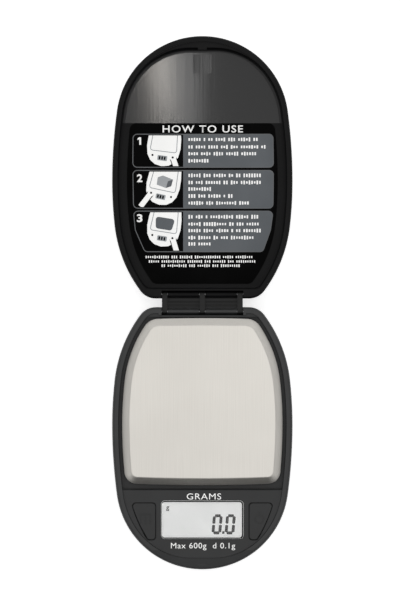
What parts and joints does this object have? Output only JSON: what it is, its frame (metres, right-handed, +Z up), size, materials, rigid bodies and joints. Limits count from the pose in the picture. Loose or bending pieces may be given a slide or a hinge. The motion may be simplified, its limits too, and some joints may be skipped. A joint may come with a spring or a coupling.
{
  "type": "pocket gram scale",
  "caption": "Palm-size digital gram scale with a hinged cover lid lying open, a brushed steel weighing tray, a segment display and a key on each side of it.",
  "frame": {"origin": "on the table under the middle of the hinge, halfway between the case and the open lid", "axes": "+Z up, +Y from the case towards the open lid, +X to the right for a user who stands on the -Y side"},
  "size_m": [0.077, 0.2276, 0.0198],
  "materials": {
    "cable_vinyl": "grey flat cable",
    "battery_wrap": "plain shrink sleeve",
    "door_abs": "fine matte black ABS",
    "contact_nickel": "nickel-plated spring steel",
    "component_ceramic": "chip capacitors and resistors",
    "screw_steel": "zinc-plated steel",
    "connector_nylon": "natural nylon",
    "blob_epoxy": "black epoxy",
    "diffuser_acrylic": "white reflector",
    "frame_abs": "black ABS",
    "window_acrylic": "clear acrylic",
    "foot_rubber": "soft black rubber",
    "label_vinyl": "printed black label with satin film",
    "link_abs": "black ABS",
    "pin_steel": "ground steel wire",
    "switch_nylon": "black nylon",
    "lcd_glass": "reflective liquid crystal cell",
    "lid_abs": "polished inside, matte outside",
    "cell_aluminium": "milled",
    "case_abs": "fine matte black ABS",
    "board_laminate": "green solder mask",
    "carrier_abs": "black ABS",
    "key_abs": "matte black ABS",
    "gauge_silicone": "white silicone coating over foil gauges",
    "plunger_nylon": "natural nylon",
    "pad_foam": "double-sided foam tape",
    "panel_abs": "fine matte black ABS",
    "tray_steel": "stainless, brushed front to back",
    "zebra_rubber": "striped conductive silicone"
  },
  "bodies": {
    "base": {"battery_cable": "cable_vinyl", "battery_cell_1": "battery_wrap", "battery_cell_2": "battery_wrap", "battery_spring_1": "contact_nickel", "battery_spring_2": "contact_nickel", "board_parts": "component_ceramic", "board_screws": "screw_steel", "cable_connectors": "connector_nylon", "case_screws": "screw_steel", "cell_screws": "screw_steel", "chip_blob": "blob_epoxy", "contact_bridge": "contact_nickel", "display_diffuser": "diffuser_acrylic", "display_frame": "frame_abs", "display_window": "window_acrylic", "end_contacts": "contact_nickel", "foot_front_left": "foot_rubber", "foot_front_right": "foot_rubber", "foot_rear_left": "foot_rubber", "foot_rear_right": "foot_rubber", "gauge_cable": "cable_vinyl", "hinge_pin_base": "pin_steel", "key_switch_left": "switch_nylon", "key_switch_right": "switch_nylon", "lcd_panel": "lcd_glass", "load_cell": "cell_aluminium", "lower_case": "case_abs", "main_board": "board_laminate", "overload_stop": "screw_steel", "strain_gauges": "gauge_silicone", "upper_case": "panel_abs", "zebra_strips": "zebra_rubber"},
    "platform": {"weighing_tray": "tray_steel", "platform_carrier": "carrier_abs", "tray_pads": "pad_foam", "platform_screws": "screw_steel"},
    "units_key": {"units_key": "key_abs", "switch_plunger_left": "plunger_nylon"},
    "power_key": {"power_key": "key_abs", "switch_plunger_right": "plunger_nylon"},
    "hinge_link": {"hinge_link": "link_abs"},
    "lid": {"lid_shell": "lid_abs", "hinge_pin_lid": "pin_steel", "guide_label": "label_vinyl"},
    "battery_door": {"battery_door": "door_abs"}
  },
  "joints": [
    {"name": "base_hinge", "type": "hinge", "parent": "base", "child": "hinge_link", "pos_m": [0, -0.00375, 0.0144], "axis": [1, 0, 0], "range_deg": [0, 90]},
    {"name": "lid_hinge", "type": "hinge", "parent": "hinge_link", "child": "lid", "pos_m": [0, 0.00375, 0.0144], "axis": [1, 0, 0], "range_deg": [0, 90]},
    {"name": "platform_press", "type": "slide", "parent": "base", "child": "platform", "axis": [0, 0, -1], "range_m": [0, 0.0003], "stiffness_N_per_m": 20000, "deforming": ["load_cell"]},
    {"name": "units_key_press", "type": "slide", "parent": "base", "child": "units_key", "axis": [0, 0, -1], "range_m": [0, 0.0003], "stiffness_N_per_m": 4000},
    {"name": "power_key_press", "type": "slide", "parent": "base", "child": "power_key", "axis": [0, 0, -1], "range_m": [0, 0.0003], "stiffness_N_per_m": 4000},
    {"name": "battery_door_tilt", "type": "hinge", "parent": "base", "child": "battery_door", "pos_m": [0, -0.075, 0.001], "axis": [-1, 0, 0], "range_deg": [0, 60]}
  ]
}
